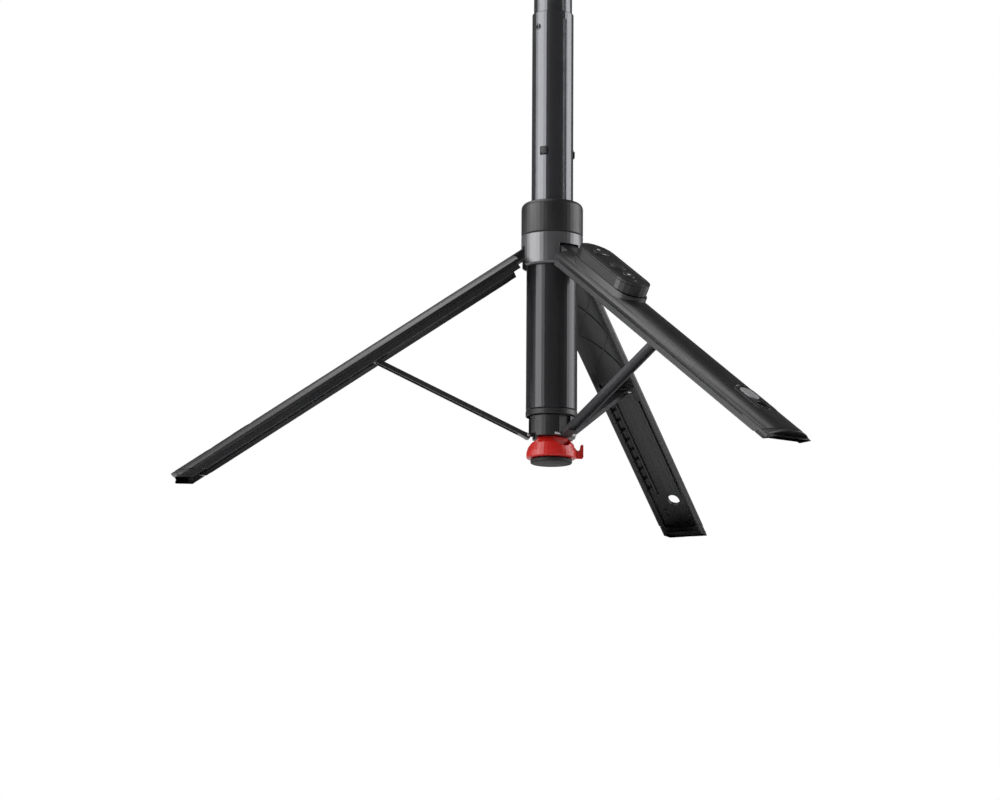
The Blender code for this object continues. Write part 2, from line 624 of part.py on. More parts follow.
build_legs()
build_hub()
build_collar()
build_column()
build_slider()
build_base()
build_mast()
build_head()
build_holder()
build_remote()

for made in (*PARTS.objects, *CUTTERS.objects):
    made.matrix_world = shift(0, 0, -PAD_BOTTOM) @ made.matrix_world
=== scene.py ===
"""Visual model of the tripod selfie stick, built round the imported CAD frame.

Lengths are in millimetres above the floor, as in the CAD source, and become metres in the row frame where
meshes are made. A leg is drawn folded (X out from the mast, Y along its hinge, Z up, origin on the hinge)
and then swung out.
"""
import json
from math import cos, hypot, pi, radians, sin, tau

import bmesh
import bpy
from mathutils import Matrix, Vector

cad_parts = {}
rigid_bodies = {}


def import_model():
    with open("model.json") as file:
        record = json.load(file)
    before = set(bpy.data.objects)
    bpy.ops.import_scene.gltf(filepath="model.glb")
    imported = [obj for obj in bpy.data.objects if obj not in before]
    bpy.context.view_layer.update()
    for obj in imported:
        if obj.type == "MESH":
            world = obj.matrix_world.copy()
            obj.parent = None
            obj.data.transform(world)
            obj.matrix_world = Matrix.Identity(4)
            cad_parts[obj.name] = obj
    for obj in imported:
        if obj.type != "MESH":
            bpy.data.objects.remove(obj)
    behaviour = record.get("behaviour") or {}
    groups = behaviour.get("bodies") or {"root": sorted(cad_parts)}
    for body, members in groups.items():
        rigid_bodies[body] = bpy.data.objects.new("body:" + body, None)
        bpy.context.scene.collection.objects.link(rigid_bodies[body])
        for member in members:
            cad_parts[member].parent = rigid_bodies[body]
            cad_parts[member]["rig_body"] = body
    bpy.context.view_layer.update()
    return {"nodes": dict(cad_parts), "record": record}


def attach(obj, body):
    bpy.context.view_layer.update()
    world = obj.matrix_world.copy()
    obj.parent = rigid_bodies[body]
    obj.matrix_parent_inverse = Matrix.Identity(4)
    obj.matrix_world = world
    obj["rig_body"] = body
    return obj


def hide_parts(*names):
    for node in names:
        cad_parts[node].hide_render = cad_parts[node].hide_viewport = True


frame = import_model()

MM = 0.001
FLOOR_Z = -14.5
HINGE_R, HINGE_Z = 15.2, 140.2
LEG_SWING = radians(55.7)
LEGS = {"front": radians(-90), "right": radians(30), "left": radians(150)}
LEG_CROWN_R, LEG_HALF = 20.3, 13.4
SHELL_EDGE_N, LEG_INNER_N = -1.9, -5.5
WINDOW_U, HOLE_U = 202.0, 216.5
HUB_R, HUB_TOP = 18.5, 152.0
TUBE_R = [12.5, 11.55, 10.6, 9.65, 8.7, 7.75]
TUBE_TOP = [290.0, 400.0, 405.0, 410.0, 415.0, 420.0]
DETENT_Z = 203.0
DETENT_ANGLES = [radians(-150), radians(-30)]
REMOTE_U, REMOTE_LONG, REMOTE_WIDE, REMOTE_TOP_N = 48.0, 62.0, 22.0, 13.6
TILT_Z, HOLDER_BOTTOM, HOLDER_TOP = 456.0, 463.5, 523.0

IDENTITY = Matrix.Identity(4)
ALONG_Y = Matrix.Rotation(pi / 2, 4, "X")
ALONG_X = Matrix(((0, 0, 1, 0), (1, 0, 0, 0), (0, 1, 0, 0), (0, 0, 0, 1)))
OUTWARD = Matrix.Rotation(pi / 2, 4, "Y")


def shift(x, y, z):
    return Matrix.Translation((x, y, z))


def round_mast(angle):
    return Matrix.Rotation(angle, 4, "Z")


def leg_frame(angle):
    return round_mast(angle) @ shift(HINGE_R, 0, HINGE_Z) @ Matrix.Rotation(-LEG_SWING, 4, "Y")


# ---------------------------------------------------------------- materials

# Radius of the shading bevel, which rounds the edges and also sets the width of the painted edge highlight.
EDGE_BEVEL_RADIUS, RELIEF = 0.25, 0.00004


def node(tree, kind, **values):
    made = tree.nodes.new(kind)
    for key, value in values.items():
        if hasattr(made, key):
            setattr(made, key, value)
        else:
            made.inputs[key.replace("_", " ")].default_value = value
    return made


def surface(name, colour, roughness, metallic=0.0, grain=2600.0, bump=0.12, tone=0.18, spread=0.07,
            stretch=(1, 1, 1), edge_highlight=0.35, highlight_colour=None, coat=0.0, sheen=0.0):
    """A moulded or drawn finish: blotchy tone, uneven gloss, fine grain, and a painted highlight that makes
    the colour lighter along edges.
    """
    made = bpy.data.materials.new(name)
    made.use_nodes = True
    tree = made.node_tree
    link = tree.links.new
    shader = tree.nodes["Principled BSDF"]
    shader.inputs["Metallic"].default_value = metallic
    shader.inputs["Coat Weight"].default_value = coat
    shader.inputs["Sheen Weight"].default_value = sheen
    place = node(tree, "ShaderNodeTexCoord")
    mapping = node(tree, "ShaderNodeMapping")
    mapping.inputs["Scale"].default_value = stretch
    link(place.outputs["Object"], mapping.inputs["Vector"])
    blotch = node(tree, "ShaderNodeTexNoise", Scale=55.0, Detail=3.0, Roughness=0.6)
    link(place.outputs["Object"], blotch.inputs["Vector"])
    fine = node(tree, "ShaderNodeTexNoise", Scale=grain, Detail=2.0, Roughness=0.55)
    link(mapping.outputs["Vector"], fine.inputs["Vector"])
    dark = [c * (1 - tone) for c in colour]
    light = [min(1.0, c * (1 + tone)) for c in colour]
    ramp = node(tree, "ShaderNodeValToRGB")
    ramp.color_ramp.elements[0].position = 0.32
    ramp.color_ramp.elements[1].position = 0.68
    ramp.color_ramp.elements[0].color = (*dark, 1)
    ramp.color_ramp.elements[1].color = (*light, 1)
    link(blotch.outputs["Fac"], ramp.inputs["Fac"])
    speck = node(tree, "ShaderNodeMix", data_type="RGBA", blend_type="OVERLAY")
    speck.inputs["Factor"].default_value = 0.5 * tone
    link(ramp.outputs["Color"], speck.inputs["A"])
    link(fine.outputs["Fac"], speck.inputs["B"])
    rounded = node(tree, "ShaderNodeBevel", samples=4, Radius=EDGE_BEVEL_RADIUS * MM)
    corner = node(tree, "ShaderNodeNewGeometry")
    match = node(tree, "ShaderNodeVectorMath", operation="DOT_PRODUCT")
    link(rounded.outputs["Normal"], match.inputs[0])
    link(corner.outputs["Normal"], match.inputs[1])
    # Painted highlight: the base colour turns lighter where the bevel normal bends away from the true
    # normal, that is along edges.
    edge_highlight_mask = node(tree, "ShaderNodeMapRange")
    edge_highlight_mask.inputs["From Min"].default_value = 0.995
    edge_highlight_mask.inputs["From Max"].default_value = 0.86
    edge_highlight_mask.inputs["To Max"].default_value = edge_highlight
    link(match.outputs["Value"], edge_highlight_mask.inputs["Value"])
    edge_highlight_mix = node(tree, "ShaderNodeMix", data_type="RGBA")
    edge_highlight_mix.inputs["B"].default_value = (*(highlight_colour or [min(1.0, 0.06 + 2.2 * c) for c in colour]), 1)
    link(edge_highlight_mask.outputs["Result"], edge_highlight_mix.inputs["Factor"])
    link(speck.outputs["Result"], edge_highlight_mix.inputs["A"])
    link(edge_highlight_mix.outputs["Result"], shader.inputs["Base Color"])
    gloss = node(tree, "ShaderNodeMapRange")
    gloss.inputs["From Min"].default_value = 0.3
    gloss.inputs["From Max"].default_value = 0.7
    gloss.inputs["To Min"].default_value = max(0.02, roughness - spread)
    gloss.inputs["To Max"].default_value = min(1.0, roughness + spread)
    link(blotch.outputs["Fac"], gloss.inputs["Value"])
    link(gloss.outputs["Result"], shader.inputs["Roughness"])
    relief = node(tree, "ShaderNodeBump", Strength=bump, Distance=RELIEF)
    link(fine.outputs["Fac"], relief.inputs["Height"])
    link(rounded.outputs["Normal"], relief.inputs["Normal"])
    link(relief.outputs["Normal"], shader.inputs["Normal"])
    made.diffuse_color = (*colour, 1)
    return made


DRAWN = (1, 1, 0.012)
FINISH = {
    "tube": surface("satin_gunmetal", (0.115, 0.117, 0.125), 0.25, 0.85, 1500, 0.03, 0.05, 0.02, DRAWN, 0.5),
    "column": surface("satin_black_column", (0.040, 0.040, 0.043), 0.23, 0.5, 1500, 0.03, 0.06, 0.02, DRAWN),
    "hub": surface("metallic_grey_hub", (0.15, 0.15, 0.156), 0.33, 0.6, 2600, 0.05, 0.06, 0.03),
    "collar": surface("matte_black_collar", (0.016, 0.016, 0.0175), 0.42, 0, 2400, 0.08, 0.12),
    "shell": surface("satin_black_shell", (0.0135, 0.0135, 0.015), 0.36, 0, 2200, 0.03, 0.08, 0.04),
    "liner": surface("moulded_dark_liner", (0.015, 0.0155, 0.017), 0.36, 0, 2600, 0.03, 0.08, 0.04),
    "rubber": surface("black_rubber", (0.012, 0.012, 0.0125), 0.66, 0, 1900, 0.14, 0.2, 0.08, edge_highlight=0.2),
    "steel": surface("turned_steel", (0.56, 0.56, 0.58), 0.24, 1.0, 3000, 0.03, 0.06, 0.06, edge_highlight=0.1),
    "strut": surface("anodised_strut", (0.045, 0.045, 0.049), 0.34, 0.5, 1500, 0.04, 0.10, 0.04, DRAWN, 0.5),
    "red": surface("red_satin_cap", (0.62, 0.016, 0.012), 0.34, 0, 2600, 0.04, 0.06, 0.05, edge_highlight=0.25,
                   highlight_colour=(0.80, 0.08, 0.055), coat=0.1),
    "insert": surface("pale_grey_insert", (0.30, 0.30, 0.31), 0.48, 0, 2600, 0.10, 0.08, 0.06),
    "remote": surface("satin_black_remote", (0.0095, 0.0095, 0.0105), 0.34, 0, 3000, 0.03, 0.1, 0.04),
    "button": surface("soft_grey_button", (0.024, 0.024, 0.026), 0.42, 0, 2600, 0.08, 0.1, 0.05),
    "board": surface("green_board", (0.018, 0.11, 0.045), 0.40, 0, 900, 0.10, 0.3, 0.1),
}
FELT = surface("black_felt", (0.012, 0.012, 0.012), 0.95, 0, 5200, 0.5, 0.4, 0.04, sheen=0.4)
MARK = surface("white_print", (0.72, 0.72, 0.70), 0.5, 0, 3000, 0.08, 0.06, 0.05)
# Near-black used as painted shade in the dimples, pin seats and seams, where the hollows and gaps fall into
# shade.
PAINTED_SHADE = surface("painted_recess_shade", (0.006, 0.006, 0.006), 0.8, 0, 2600, 0.2)


# ---------------------------------------------------------------- mesh code

def arc(centre_x, centre_y, radius, start, end, count):
    points = []
    for i in range(count + 1):
        angle = radians(start + (end - start) * i / count)
        points.append((centre_x + radius * cos(angle), centre_y + radius * sin(angle)))
    return points


def stadium(half_long, half_wide, count=14):
    """A slot outline with round ends, long in Y."""
    straight = half_long - half_wide
    return arc(0, straight, half_wide, 0, 180, count) + arc(0, -straight, half_wide, 180, 360, count)


def rounded_box(half_x, half_y, radius, count=5):
    points = []
    for start, sx, sy in ((0, 1, 1), (90, -1, 1), (180, -1, -1), (270, 1, -1)):
        points += arc(sx * (half_x - radius), sy * (half_y - radius), radius, start, start + 90, count)
    return points


def inset(outline, amount):
    """A convex outline, counter-clockwise, moved inwards along its corner normals."""
    count = len(outline)
    moved = []
    for i, (x, y) in enumerate(outline):
        ax, ay = outline[i - 1]
        bx, by = outline[(i + 1) % count]
        dx, dy = bx - ax, by - ay
        long = hypot(dx, dy) or 1.0
        moved.append((x - dy / long * amount, y + dx / long * amount))
    return moved


class Shape:
    """Closed solids gathered into one mesh, in millimetres above the floor."""

    def __init__(self):
        self.verts, self.faces = [], []

    def loft(self, rings, place=IDENTITY, loop=False):
        base, wide = len(self.verts), len(rings[0])
        for ring in rings:
            self.verts += [place @ Vector(p) for p in ring]
        rows = len(rings)
        for row in range(rows if loop else rows - 1):
            a, b = base + row * wide, base + (row + 1) % rows * wide
            for i in range(wide):
                j = (i + 1) % wide
                self.faces.append((a + i, a + j, b + j, b + i))
        if not loop:
            self.faces.append(tuple(base + i for i in reversed(range(wide))))
            self.faces.append(tuple(base + (rows - 1) * wide + i for i in range(wide)))
        return self

    def slab(self, outline, low, high, place=IDENTITY, edge=0.3):
        """A plate whose top and bottom rims are rounded."""
        rings = []
        turn = [pi / 2 * i / 3 for i in range(4)]
        for angle in turn[:-1]:
            rings.append((edge * (1 - sin(angle)), low + edge * (1 - cos(angle))))
        for angle in reversed(turn):
            rings.append((edge * (1 - sin(angle)), high - edge * (1 - cos(angle))))
        return self.loft([[(x, y, z) for x, y in inset(outline, d)] for d, z in rings], place)

    def lathe(self, profile, place=IDENTITY, steps=64, loop=True):
        """A profile of (radius, height) turned about the place's Z."""
        rings = [[(r * cos(tau * i / steps), r * sin(tau * i / steps), z) for i in range(steps)]
                 for r, z in profile]
        return self.loft(rings, place, loop)

    def bead(self, path, radius, place=IDENTITY, height=0.0, squash=1.0):
        """A wire, round or squashed, laid along a closed flat path in the place's XY plane."""
        rings, count, sides = [], len(path), 8
        for i, (x, y) in enumerate(path):
            ax, ay = path[i - 1]
            bx, by = path[(i + 1) % count]
            dx, dy = bx - ax, by - ay
            long = hypot(dx, dy) or 1.0
            nx, ny = dy / long, -dx / long
            ring = []
            for k in range(sides):
                c, s = cos(tau * k / sides) * radius, sin(tau * k / sides) * radius * squash
                ring.append((x + nx * c, y + ny * c, height + s))
            rings.append(ring)
        return self.loft(rings, place, True)

    def piece(self, name, body, slot, finish=None, smooth=38, replaces=()):
        mesh = bpy.data.meshes.new(name)
        down = shift(0, 0, FLOOR_Z)
        mesh.from_pydata([(down @ v) * MM for v in self.verts], [], self.faces)
        return settle(name, mesh, body, slot, finish, smooth, replaces)


def settle(name, mesh, body, slot, finish=None, smooth=38, replaces=()):
    """Cleans and smooths a finished mesh and declares its object."""
    shape = bmesh.new()
    shape.from_mesh(mesh)
    bmesh.ops.remove_doubles(shape, verts=shape.verts, dist=2e-7)
    bmesh.ops.recalc_face_normals(shape, faces=shape.faces)
    shape.to_mesh(mesh)
    shape.free()
    mesh.shade_smooth()
    mesh.set_sharp_from_angle(angle=radians(smooth))
    return declare(name, mesh, body, slot, finish, replaces)


def declare(name, mesh, body, slot, finish=None, replaces=()):
    """Links the object, gives it its finish, tells the frame what it rides on, and hides the CAD nodes it
    replaces.
    """
    made = bpy.data.objects.new(name, mesh)
    bpy.context.scene.collection.objects.link(made)
    mesh.materials.clear()
    mesh.materials.append(finish or FINISH[slot])
    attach(made, body)
    if replaces:
        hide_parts(*replaces)
    return made


# ---------------------------------------------------------------- CAD nodes: finishes and softened copies

SLOT_OF = {entry["node"]: entry["material_slot"] for entry in frame["record"]["subparts"]}
BODY_OF = {name: o["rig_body"] for name, o in frame["nodes"].items()}
WELD, FLAT_ANGLE, EDGE_ANGLE = 1e-6, radians(0.6), radians(38)
LEAST_VOLUME, MOST_VOLUME = 0.93, 1.0001


def closed_volume(mesh):
    shape = bmesh.new()
    shape.from_mesh(mesh)
    whole = all(len(e.link_faces) == 2 for e in shape.edges)
    volume = shape.calc_volume()
    shape.free()
    return whole, volume


def clean_copy(name):
    """A copy of a CAD node's mesh, with flat facets merged."""
    mesh = frame["nodes"][name].data.copy()
    shape = bmesh.new()
    shape.from_mesh(mesh)
    bmesh.ops.remove_doubles(shape, verts=shape.verts, dist=WELD)
    bmesh.ops.dissolve_limit(shape, angle_limit=FLAT_ANGLE, verts=shape.verts, edges=shape.edges)
    shape.to_mesh(mesh)
    shape.free()
    return mesh


def loose_object(name, mesh):
    made = bpy.data.objects.new(name, mesh)
    bpy.context.scene.collection.objects.link(made)
    return made


def add_bevel(made, width):
    """Rounds the hard edges of an object."""
    bevel = made.modifiers.new("Bevel", "BEVEL")
    bevel.width = width * MM
    bevel.segments = 2
    bevel.limit_method = "ANGLE"
    bevel.angle_limit = EDGE_ANGLE
    return bevel


def finished_mesh(made, helpers=()):
    """The mesh with all modifiers applied. The object and its helpers are removed."""
    bpy.context.view_layer.update()
    result = bpy.data.meshes.new_from_object(made.evaluated_get(bpy.context.evaluated_depsgraph_get()))
    for loose in [made, *helpers]:
        bpy.data.objects.remove(loose, do_unlink=True)
    return result


def softened(name, width):
    """A copy of a CAD node with rounded edges, in its place. The node stays if rounding spoils it."""
    mesh = clean_copy(name)
    whole, volume = closed_volume(mesh)
    trial = loose_object(name + "_trial", mesh)
    bevel = add_bevel(trial, width)
    bevel.use_clamp_overlap = True
    bevel.miter_outer = "MITER_ARC"
    trial.modifiers.new("Weights", "WEIGHTED_NORMAL").keep_sharp = True
    result = finished_mesh(trial)
    fine, after = closed_volume(result)
    if not whole or not fine or not LEAST_VOLUME * volume < after < MOST_VOLUME * volume:
        return
    result.name = name + "_skin"
    declare(name + "_skin", result, BODY_OF[name], SLOT_OF[name], replaces=(name,))


for name, made in frame["nodes"].items():
    made.data.materials.clear()
    made.data.materials.append(FINISH[SLOT_OF[name]])

# ---------------------------------------------------------------- legs

# On the folded leg, u runs from the hinge towards the tip, n outwards and t along the hinge.
TIP_U, TIP_SLANT, TIP_TUCK = 250.0, 0.75, 1.2
PAST_TIP, PAST_SIDE, PAST_CROWN = 300.0, 20.0, 8.0
WALL_LOW_N, WALL_GAP, WALL_STEPS = -0.4, 0.05, 16
SKIRT_U, SKIRT_N, SKIRT_LEVEL, SKIRT_END_N = 222.0, -3.4, 14, -2.2
FOOT_TRIM_N = 0.5
SOLE_LOW_N, SOLE_HIGH_N, SOLE_HALF = -3.9, 0.3, 12.6
POCKET_U, POCKET_HALF, POCKET_WIDE, POCKET_FLOOR = 208.6, 16.8, 6.3, 4.35
TROUGH_R, TROUGH_HALF = 15.9, 9.6
CROSSINGS = ((27.0, 60.0), (60.0, 93.0))
GUSSET_T, GUSSET_ROOT_T = 10.95, 8.2
STUD_T = 7.6


def leg_piece(shape, name, side, slot, finish=None, smooth=38, replaces=()):
    """Places a shape drawn on the folded leg on its open leg."""
    place = leg_frame(LEGS[side])
    shape.verts = [place @ v for v in shape.verts]
    return shape.piece(name, side + "_leg", slot, finish, smooth, replaces)


def crown_n(radius, t):
    return (radius * radius - t * t) ** 0.5 - HINGE_R


def tip_u(n):
    """Where the leg's blunt end lies, further up the leg on its inner side."""
    return TIP_U - (LEG_CROWN_R - HINGE_R - n) * TIP_SLANT


def solid_object(shape, place):
    """A loose helper object for boolean work."""
    mesh = bpy.data.meshes.new("helper")
    down = shift(0, 0, FLOOR_Z)
    mesh.from_pydata([(down @ place @ v) * MM for v in shape.verts], [], shape.faces)
    fix = bmesh.new()
    fix.from_mesh(mesh)
    bmesh.ops.recalc_face_normals(fix, faces=fix.faces)
    fix.to_mesh(mesh)
    fix.free()
    return loose_object("helper", mesh)


def cut_copy(name, helpers, edge):
    """The mesh of a CAD node less the helper solids, with its hard edges rounded."""
    work = loose_object("work", clean_copy(name))
    for helper in helpers:
        step = work.modifiers.new("Cut", "BOOLEAN")
        step.operation = "DIFFERENCE"
        step.object = helper
        step.solver = "EXACT"
    add_bevel(work, edge)
    return finished_mesh(work, helpers)


def beyond_tip(low_n, tuck, place):
    """The space past the leg's blunt end, from low_n outwards, brought in by the tuck at its outer edge."""
    outline = [(low_n, -tip_u(low_n)), (PAST_CROWN, tuck - tip_u(PAST_CROWN)), (PAST_CROWN, -PAST_TIP),
               (low_n, -PAST_TIP)]
    space = Shape()
    space.loft([[(n, t, z) for n, z in outline] for t in (-PAST_SIDE, PAST_SIDE)])
    return solid_object(space, place)


def shell_skin(side):
    """The leg's outer shell, cut to a blunt end and with a stadium pocket near the tip."""
    place = leg_frame(LEGS[side])
    name = "leg_shell_" + side
    across = shift(0, 0, -POCKET_U) @ ALONG_X
    pocket = Shape().slab(stadium(POCKET_HALF, POCKET_WIDE), POCKET_FLOOR, 9.0, across, edge=0.5)
    helpers = [beyond_tip(-PAST_CROWN, 0.0, place), solid_object(pocket, place)]
    settle(name + "_skin", cut_copy(name, helpers, 0.28), side + "_leg", "shell", replaces=(name,))


def end_wall(side):
    """Closes the blunt end of the shell with a wall that has a rounded rim."""
    rings = []
    for inward, drop in ((0.9, 0.0), (0.25, 0.12), (0.0, 0.5), (0.0, 1.9)):
        half = LEG_HALF - WALL_GAP - inward
        across = [half * (1 - 2 * i / WALL_STEPS) for i in range(WALL_STEPS + 1)]
        ring = [(t, crown_n(LEG_CROWN_R - WALL_GAP - inward, t)) for t in across]
        ring += [(-half, WALL_LOW_N + inward), (half, WALL_LOW_N + inward)]
        rings.append([(n, t, drop - tip_u(n)) for t, n in ring])
    leg_piece(Shape().loft(rings), "leg_end_wall_" + side, side, "shell")


def side_skirts(side):
    """The shell's sides, which reach lower near the tip."""
    skirts = Shape()
    lower_edge = ((SKIRT_U - 3.5, SHELL_EDGE_N - 0.1), (SKIRT_U, SKIRT_N), (SKIRT_U + SKIRT_LEVEL, SKIRT_N),
                  (tip_u(SKIRT_N), SKIRT_N), (tip_u(SKIRT_END_N) - 0.2, SKIRT_END_N))
    for sign in (-1, 1):
        inner, outer = sign * (LEG_HALF - 0.5), sign * (LEG_HALF + 0.18)
        skirts.loft([[(n, inner, -u), (n + 0.2, outer, -u), (SHELL_EDGE_N + 0.5, outer, -u),
                      (SHELL_EDGE_N + 0.7, inner, -u)] for u, n in lower_edge])
    leg_piece(skirts, "leg_skirts_" + side, side, "shell")


def foot_skin(side):
    """The foot, trimmed back behind the blunt end of the shell above its sole."""
    name = "leg_foot_" + side
    helper = beyond_tip(FOOT_TRIM_N, TIP_TUCK, leg_frame(LEGS[side]))
    settle(name + "_block", cut_copy(name, [helper], 0.1), side + "_leg", "rubber", replaces=(name,))


def sole_bar(side):
    """A bar that carries the sole straight across the foot, clear of the folded cap."""
    low, high = [(HINGE_Z + n * sin(LEG_SWING)) / cos(LEG_SWING) - 0.05 for n in (SOLE_LOW_N, SOLE_HIGH_N)]
    profile = [(SOLE_LOW_N, -low), (SOLE_HIGH_N, -high),
               (SOLE_HIGH_N + 0.3, 2.3 - high), (SOLE_LOW_N, 3.2 - low)]
    bar = Shape().loft([[(n, t, z) for n, z in profile] for t in (-SOLE_HALF, SOLE_HALF)])
    leg_piece(bar, "leg_sole_" + side, side, "rubber")


def ribbon(shape, points, normals, half_width, height):
    """A low rib with sloping sides along a path, standing on a surface with the given normals."""
    sunk, narrowing = 0.2, 0.6
    rings = []
    for i, (point, up) in enumerate(zip(points, normals)):
        along = (points[min(i + 1, len(points) - 1)] - points[max(i - 1, 0)]).normalized()
        side = along.cross(up).normalized() * half_width
        up = up.normalized()
        rings.append([point - side - up * sunk, point + side - up * sunk,
                      point + side * narrowing + up * height, point - side * narrowing + up * height])
    shape.loft(rings)


def crossing_ribs(ribs):
    """Two crosses on the curved floor of the trough that closes round the column."""
    steps = 12
    for start, end in CROSSINGS:
        for sign in (-1, 1):
            points, normals = [], []
            for i in range(steps + 1):
                t = sign * TROUGH_HALF * (1 - 2 * i / steps)
                u = start + (end - start) * i / steps
                reach = (TROUGH_R * TROUGH_R - t * t) ** 0.5
                points.append(Vector((reach - HINGE_R, t, -u)))
                normals.append(Vector((-reach, -t, 0)))
            ribbon(ribs, points, normals, 0.5, 0.5)


def trough_rails(ribs):
    """A rib along each side of the trough."""
    for sign in (-1, 1):
        rail_n = (TROUGH_R ** 2 - TROUGH_HALF ** 2) ** 0.5 - HINGE_R
        points = [Vector((rail_n, sign * TROUGH_HALF, -u)) for u in range(14, 102, 8)]
        normals = [Vector((-12.7, -sign * TROUGH_HALF, 0))] * len(points)
        ribbon(ribs, points, normals, 0.4, 0.3)


def gussets(ribs):
    """Small triangular webs down both sides of the channel."""
    for u in range(128, 204, 9):
        for sign in (-1, 1):
            wall, root = sign * GUSSET_T, sign * GUSSET_ROOT_T
            corner = [(LEG_INNER_N + 0.9, wall), (0.2, wall), (0.6, root)]
            ribs.loft([[(n, t, -u - w) for n, t in corner] for w in (-0.35, 0.35)])


def tip_studs(ribs):
    """Domed studs on the plate inside the tip."""
    dome = [(0.02, 2.6), (0.9, 2.6), (0.9, 3.1), (0.5, 3.5), (0.02, 3.6)]
    for u in (208.0, 224.0, 229.0):
        for sign in (-1, 1):
            inward = Matrix.Rotation(-pi / 2, 4, "Y") @ shift(0, 0, -3.4)
            ribs.lathe(dome, shift(0, sign * STUD_T, -u) @ inward, 12, False)


def liner_ribs(side):
    """All the moulded ribs and studs on the inside of a leg."""
    ribs = Shape()
    crossing_ribs(ribs)
    trough_rails(ribs)
    gussets(ribs)
    tip_studs(ribs)
    leg_piece(ribs, "leg_ribs_" + side, side, "liner", smooth=30)


def edge_beads(side):
    """The light bead along both lower edges, tapered at its ends."""
    beads = Shape()
    thin, full = 0.12, 0.42
    for sign in (-1, 1):
        rings = []
        for u, size in ((14.0, thin), (15.0, full), (120.0, full), (228.0, full), (229.0, thin)):
            angles = [tau * k / 8 for k in range(8)]
            rings.append([(LEG_INNER_N + 0.25 + size * sin(a), sign * (LEG_HALF - 0.35) + size * cos(a), -u)
                          for a in angles])
        beads.loft(rings)
    leg_piece(beads, "leg_edge_beads_" + side, side, "liner", FINISH["column"])


def pocket_rims(side):
    """Rounded rims on the pocket and on the hole at its end."""
    rim = Shape()
    pocket = stadium(POCKET_HALF + 0.1, POCKET_WIDE + 0.1, 10)
    rim.bead(pocket, 0.3, shift(0, 0, -POCKET_U) @ ALONG_X, 4.15, 0.8)
    rim.bead(stadium(4.6, 3.85, 10), 0.25, shift(0, 0, -HOLE_U) @ ALONG_X, 4.32, 0.8)
    leg_piece(rim, "leg_pocket_rim_" + side, side, "shell")


def window_pill(side):
    """The pale insert as a pill with rounded edges."""
    pill = Shape().slab(stadium(6.9, 3.9), 4.0, 4.95, shift(0, 0, -WINDOW_U) @ ALONG_X, 0.35)
    leg_piece(pill, "leg_window_" + side + "_pill", side, "insert", replaces=("leg_window_" + side,))


for side in LEGS:
    shell_skin(side)
    end_wall(side)
    side_skirts(side)
    foot_skin(side)
    sole_bar(side)
    liner_ribs(side)
    edge_beads(side)
    pocket_rims(side)
    window_pill(side)

# ---------------------------------------------------------------- mast and hub

DIMPLE_ANGLES = (radians(-171), radians(9))
DIMPLE_DROP, DIMPLE_R = 9.5, 1.7
MAST_BODIES = ["slider"] + ["section_" + str(i) for i in range(2, 7)]


def wire(centre_r, centre_z, size, count=8):
    """The round section of a wire ring, for a lathe."""
    angles = [radians(a) for a in range(0, 360, 360 // count)]
    return [(centre_r + size * cos(a), centre_z + size * sin(a)) for a in angles]


def collar_wiper():
    """A felt ring between the collar and the mast."""
    inner, outer, low, high = 13.6, 14.65, 168.2, 171.2
    top = high + 0.5
    wiper = Shape()
    wiper.lathe([(inner, low), (outer, low), (outer, high), (14.4, top), (13.85, top), (inner, high)])
    wiper.piece("collar_wiper", "root", "collar", FELT)


def tube_rims():
    """A rolled rim on each tube, with a bush inside it where another tube comes out."""
    for index, (radius, top) in enumerate(zip(TUBE_R, TUBE_TOP)):
        rim = Shape()
        rim.lathe(wire(radius - 0.25, top - 0.32, 0.27, 12))
        if index < len(TUBE_R) - 1:
            inner, outer = TUBE_R[index + 1] + 0.1, radius - 0.5
            rim.lathe([(inner, top - 3.0), (outer, top - 3.0), (outer, top - 0.5), (inner, top - 0.8)])
        rim.piece("tube_rim_" + str(index + 1), MAST_BODIES[index], "tube", FINISH["column"])


def tube_dimples():
    """Round dimples near the top of the first tube: a ring each, and a floor painted near-black as the
    dimple's shade.
    """
    out = shift(TUBE_R[0] - 0.05, 0, TUBE_TOP[0] - DIMPLE_DROP)
    spots = [round_mast(angle) @ out @ OUTWARD for angle in DIMPLE_ANGLES]
    rings, floors = Shape(), Shape()
    for spot in spots:
        rings.lathe(wire(DIMPLE_R, 0, 0.22), spot, 24)
        floors.lathe([(0.02, -0.3), (1.6, -0.3), (1.6, 0.0), (0.02, 0.06)], spot, 20, False)
    rings.piece("tube_dimple_rims", "slider", "tube", FINISH["column"])
    floors.piece("tube_dimples", "slider", "tube", PAINTED_SHADE)


def detent_pins():
    """The latch pins with rounded heads, each in a seat painted near-black as the shade round the pin."""
    for number, angle in enumerate(DETENT_ANGLES, 1):
        place = round_mast(angle) @ shift(12.3, 0, DETENT_Z) @ OUTWARD
        pin = Shape().slab(rounded_box(1.98, 1.98, 0.5), 0.0, 1.08, place, 0.35)
        node_name = "detent_pin_" + str(number)
        pin.piece(node_name + "_cap", "detent_" + str(number), "collar", replaces=(node_name,))
        seat = Shape().bead(rounded_box(2.5, 2.5, 0.6), 0.2, place, 0.18, 0.6)
        seat.piece("detent_seat_" + str(number), "slider", "tube", PAINTED_SHADE)


def hub_details():
    """A fine ring under the collar painted near-black as the shade in the seam, and two fine lines round the
    end of the column.
    """
    inner, outer, low, high = HUB_R - 0.9, HUB_R - 0.25, HUB_TOP - 0.1, HUB_TOP + 0.4
    seam = Shape().lathe([(inner, low), (outer, low), (outer, high), (inner, high)])
    seam.piece("collar_seam", "root", "collar", PAINTED_SHADE)
    band = Shape()
    for z in (44.0, 45.2):
        band.lathe(wire(15.3, z, 0.16))
    band.piece("column_end_lines", "root", "collar", FINISH["column"])


collar_wiper()
tube_rims()
tube_dimples()
detent_pins()
hub_details()

